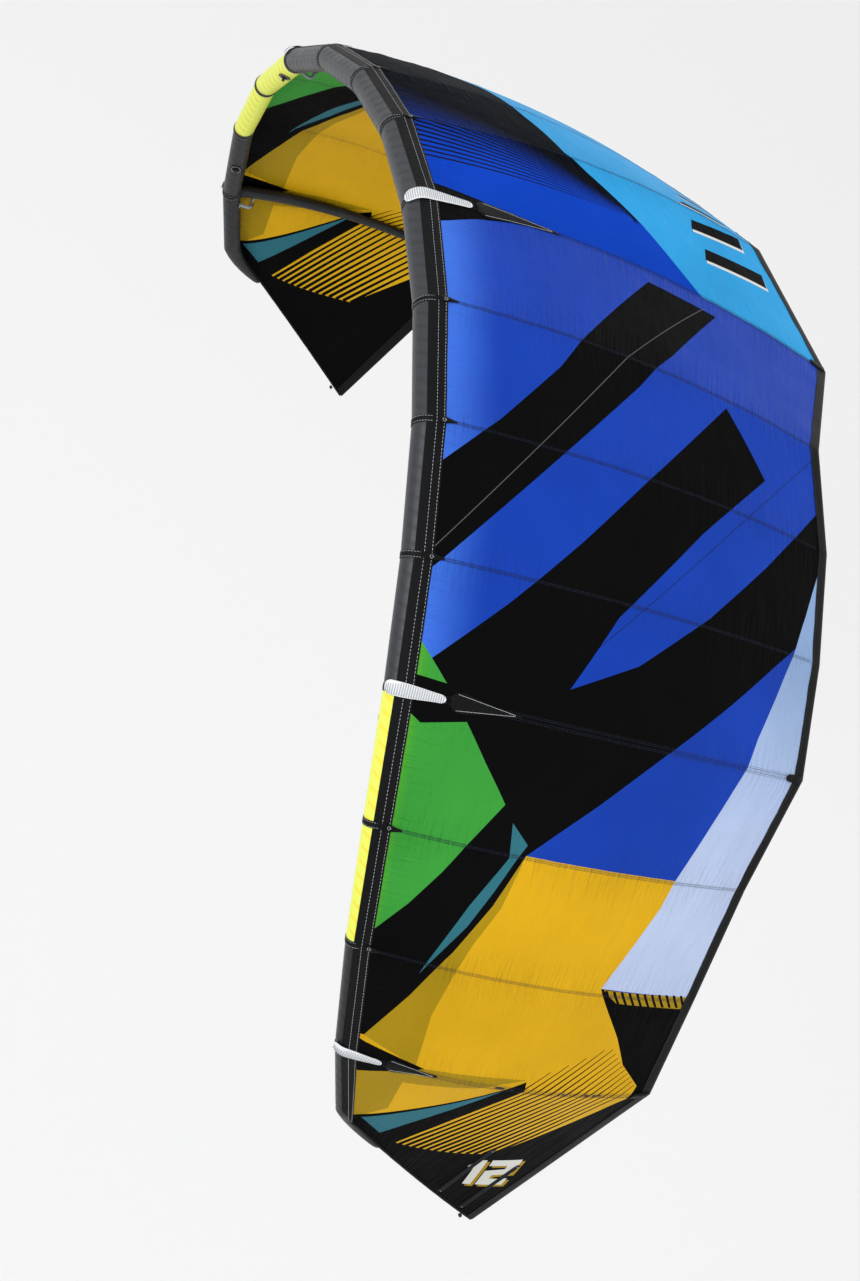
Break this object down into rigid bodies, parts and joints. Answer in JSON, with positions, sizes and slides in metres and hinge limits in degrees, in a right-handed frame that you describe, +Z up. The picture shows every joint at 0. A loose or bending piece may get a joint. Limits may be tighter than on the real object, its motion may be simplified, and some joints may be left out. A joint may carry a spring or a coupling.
{
  "type": "kitesurf kite",
  "caption": "Inflatable C-shaped kitesurf kite with a tubular leading edge, tapered struts, a canopy of sewn gores, line loops, valves and one-pump hoses.",
  "frame": {"origin": "centre of the kite's bounding box, on its plane of symmetry", "axes": "+X towards the left wing along the span, -Y towards the leading edge, +Z up with the wing tips down"},
  "size_m": [4.7058, 1.933, 2.8321],
  "materials": {
    "canopy": "ripstop, satin",
    "sleeve": "coated woven polyester, satin",
    "sleeve_bright": "coated woven polyester, satin",
    "bladder": "thin clear film, satin",
    "binding": "matte",
    "scuff": "matte",
    "trim": "matte",
    "batten": "matte",
    "valve": "satin",
    "cap": "satin",
    "hose": "satin",
    "clip": "satin",
    "zip": "matte",
    "slider": "satin",
    "webbing": "matte"
  },
  "bodies": {
    "wing": {"leading_edge_panel_1": "sleeve", "leading_edge_panel_2": "sleeve", "leading_edge_panel_3": "sleeve", "leading_edge_panel_4": "sleeve", "leading_edge_panel_5": "sleeve_bright", "leading_edge_panel_6": "sleeve_bright", "leading_edge_panel_7": "sleeve", "leading_edge_panel_8": "sleeve", "leading_edge_bladder": "bladder", "tip_tube": "sleeve", "tip_edge_binding": "binding", "tip_battens": "batten", "canopy_gore_1_left": "canopy", "canopy_gore_1_right": "canopy", "leading_edge_strip": "binding", "trailing_edge_binding": "binding", "canopy_gore_2_left": "canopy", "canopy_gore_2_right": "canopy", "canopy_gore_3_left": "canopy", "canopy_gore_3_right": "canopy", "canopy_gore_4_left": "canopy", "canopy_gore_4_right": "canopy", "canopy_gore_5_left": "canopy", "canopy_gore_5_right": "canopy", "canopy_gore_6_left": "canopy", "canopy_gore_6_right": "canopy", "canopy_gore_7_left": "canopy", "canopy_gore_7_right": "canopy", "canopy_gore_8_left": "canopy", "canopy_gore_8_right": "canopy", "strut_middle": "sleeve", "strut_bladders": "bladder", "strut_inner_left": "sleeve", "strut_inner_right": "sleeve", "strut_outer_left": "sleeve", "strut_outer_right": "sleeve", "seam_bands": "trim", "scuff_pads": "scuff", "strut_fairings": "trim", "strut_end_patches": "trim", "seam_tabs": "trim", "line_anchor_patches": "trim", "front_line_loops_inner": "webbing", "front_line_loops_outer": "webbing", "back_line_loops": "webbing", "inflation_valve": "valve", "deflation_valve": "valve", "one_pump_hoses": "hose", "hose_clip_bases": "clip", "zip_tape": "zip"},
    "deflation_valve_cap": {"deflation_valve_cap": "cap"},
    "hose_clip_lever_inner_left": {"hose_clip_lever_inner_left": "clip"},
    "hose_clip_lever_inner_right": {"hose_clip_lever_inner_right": "clip"},
    "hose_clip_lever_middle": {"hose_clip_lever_middle": "clip"},
    "hose_clip_lever_outer_left": {"hose_clip_lever_outer_left": "clip"},
    "hose_clip_lever_outer_right": {"hose_clip_lever_outer_right": "clip"},
    "inflation_valve_cap": {"inflation_valve_cap": "cap"},
    "zip_slider": {"zip_slider": "slider"}
  },
  "joints": [
    {"name": "inflation_cap_hinge", "type": "hinge", "parent": "wing", "child": "inflation_valve_cap", "pos_m": [0.2097, -0.86261, 1.20263], "axis": [0.0371, 0.9147, 0.4024], "range_deg": [0, 120]},
    {"name": "deflation_cap_hinge", "type": "hinge", "parent": "wing", "child": "deflation_valve_cap", "pos_m": [-0.20175, -0.86265, 1.20345], "axis": [0.0371, -0.9147, -0.4024], "range_deg": [0, 120]},
    {"name": "hose_clip_middle_hinge", "type": "hinge", "parent": "wing", "child": "hose_clip_lever_middle", "pos_m": [0.08058, -0.7721, 1.2922], "axis": [-0.054, -0.1914, -0.98], "range_deg": [0, 55]},
    {"name": "hose_clip_inner_left_hinge", "type": "hinge", "parent": "wing", "child": "hose_clip_lever_inner_left", "pos_m": [1.70159, -0.66563, 0.55307], "axis": [-0.8203, -0.2067, -0.5332], "range_deg": [0, 55]},
    {"name": "hose_clip_inner_right_hinge", "type": "hinge", "parent": "wing", "child": "hose_clip_lever_inner_right", "pos_m": [-1.70159, -0.66563, 0.55307], "axis": [-0.8203, 0.2067, 0.5332], "range_deg": [0, 55]},
    {"name": "hose_clip_outer_left_hinge", "type": "hinge", "parent": "wing", "child": "hose_clip_lever_outer_left", "pos_m": [2.26066, -0.23769, -0.59093], "axis": [-0.9098, -0.2852, 0.3014], "range_deg": [0, 55]},
    {"name": "hose_clip_outer_right_hinge", "type": "hinge", "parent": "wing", "child": "hose_clip_lever_outer_right", "pos_m": [-2.26066, -0.23769, -0.59093], "axis": [-0.9098, 0.2852, -0.3014], "range_deg": [0, 55]},
    {"name": "zip_slide", "type": "slide", "parent": "wing", "child": "zip_slider", "axis": [-0.9955, 0.0056, -0.0945], "range_m": [0, 0.2696]}
  ]
}
